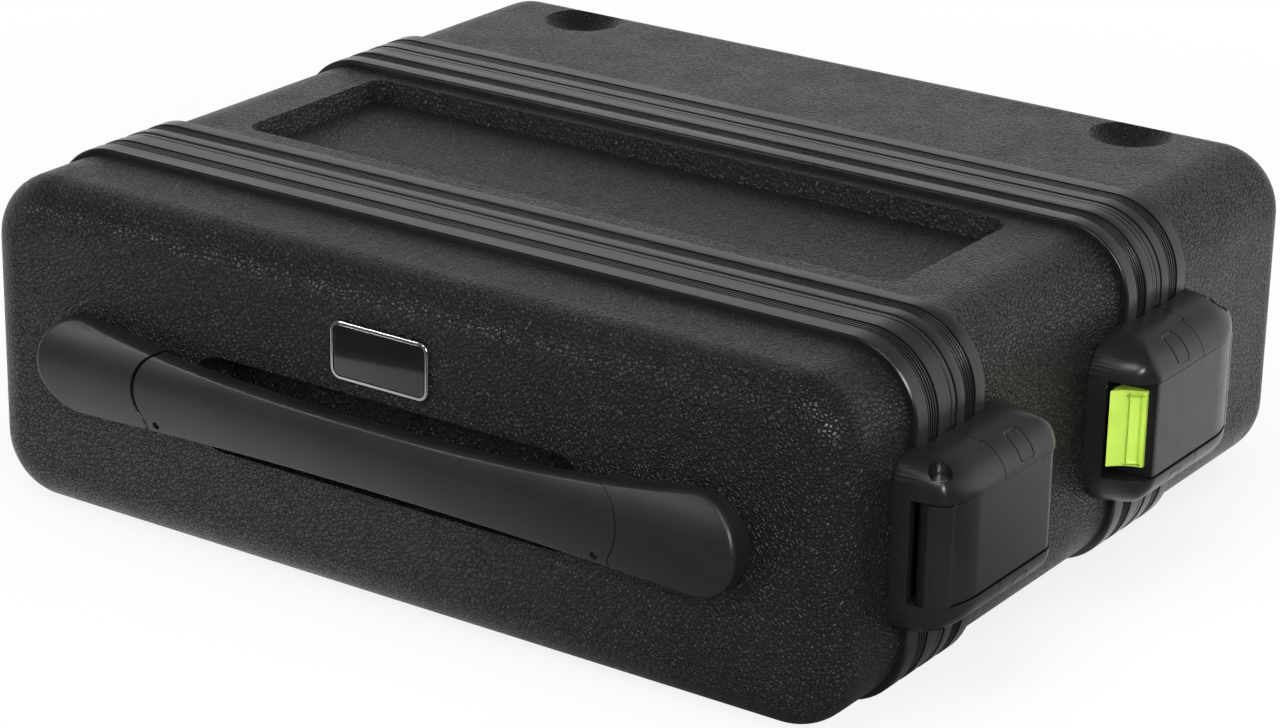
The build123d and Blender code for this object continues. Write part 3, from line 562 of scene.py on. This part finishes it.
def makeWorld():
    # white to the camera; reflections see a white backdrop behind the case, a dark room elsewhere
    world = bpy.data.worlds.new("studio")
    bpy.context.scene.world = world
    world.use_nodes = True
    tree = world.node_tree
    background = tree.nodes["Background"]
    background.inputs["Color"].default_value = (1, 1, 1, 1)
    coords = addNode(tree, "ShaderNodeTexCoord")
    facing = reachOf(tree, coords, "Generated", studio["backdropWay"])
    behind = rangeOf(tree, facing, "Value", studio["backdropEdge"], (0.0, 1.0), "SMOOTHSTEP")
    parts = addNode(tree, "ShaderNodeSeparateXYZ")
    feed(tree, coords, "Generated", parts, 0)
    low = rangeOf(tree, parts, "Z", studio["backdropTop"], (1.0, 0.0), "SMOOTHSTEP")
    cover = joined(tree, "MULTIPLY", behind, "Result", low, "Result")
    # every ray gets the world light, and camera and mirrored rays get what they lack on top of it
    fullLack = 1 - studio["worldLight"]
    darkLack = studio["darkSide"] - studio["worldLight"]
    backdrop = rangeOf(tree, cover, 0, (0.0, 1.0), (darkLack, fullLack))
    path = addNode(tree, "ShaderNodeLightPath")
    mirrored = joined(tree, "MAXIMUM", path, "Is Glossy Ray", path, "Is Transmission Ray")
    reflected = joined(tree, "MULTIPLY", mirrored, 0, backdrop, "Result")
    watched = addNode(tree, "ShaderNodeMath", operation="MULTIPLY_ADD")
    watched.inputs[1].default_value = fullLack
    watched.inputs[2].default_value = studio["worldLight"]
    feed(tree, path, "Is Camera Ray", watched, 0)
    total = joined(tree, "ADD", watched, 0, reflected, 0)
    feed(tree, total, 0, background, "Strength")


def backwards(azimuth, elevation):
    # direction from the middle of the scene to a lamp or the camera
    turn, tilt = math.radians(azimuth), math.radians(elevation)
    return Vector((math.sin(turn) * math.cos(tilt), -math.cos(turn) * math.cos(tilt),
                   math.sin(tilt)))


def addLamp(name, azimuth, elevation, distance, size, power, mirrored):
    lamp = bpy.data.lights.new(name, "AREA")
    lamp.shape = "RECTANGLE"
    lamp.size, lamp.size_y = size
    lamp.energy = power
    back = backwards(azimuth, elevation)
    holder = addObject(name, lamp)
    holder.location = Vector(studio["lampsRound"]) + back * distance
    holder.rotation_euler = back.to_track_quat("Z", "Y").to_euler()
    holder.visible_glossy = mirrored


# name, azimuth, elevation, distance, size, power, and whether reflections show it
lamps = [
    ("leftSpot", -35, 17, 1.5, (0.14, 0.14), 3.0, True),
    ("cameraSoftbox", 47, 24, 1.5, (0.38, 0.38), 11.0, True),
    ("noseSoftbox", 12, 42, 1.5, (0.50, 0.40), 4.5, True),
    ("overheadFill", 20, 80, 1.7, (1.4, 1.4), 14, False),
    ("rearFill", 160, 35, 2.0, (0.9, 0.9), 8, False),
]

view = {"target": (-0.0005, 0.0013, 0.0476), "distance": 1.4515, "azimuth": 34.0,
        "elevation": 20.96, "roll": 1.19, "focal": 107.8, "sensor": 36.0}


def makeCamera():
    back = backwards(view["azimuth"], view["elevation"])
    turn, roll = math.radians(view["azimuth"]), math.radians(view["roll"])
    right = Vector((math.cos(turn), math.sin(turn), 0))
    up = back.cross(right)
    across = math.cos(roll) * right + math.sin(roll) * up
    upward = math.cos(roll) * up - math.sin(roll) * right
    lens = bpy.data.cameras.new("view")
    lens.lens = view["focal"]
    lens.sensor_width = view["sensor"]
    lens.sensor_fit = "HORIZONTAL"
    holder = addObject("view", lens)
    place = Matrix((across, upward, back)).transposed().to_4x4()
    place.translation = Vector(view["target"]) + back * view["distance"]
    holder.matrix_world = place
    bpy.context.scene.camera = holder


makeFloor()
makeWorld()
for lampRow in lamps:
    addLamp(*lampRow)
makeCamera()
bpy.context.scene.view_settings.view_transform = "Standard"
print("studio set")
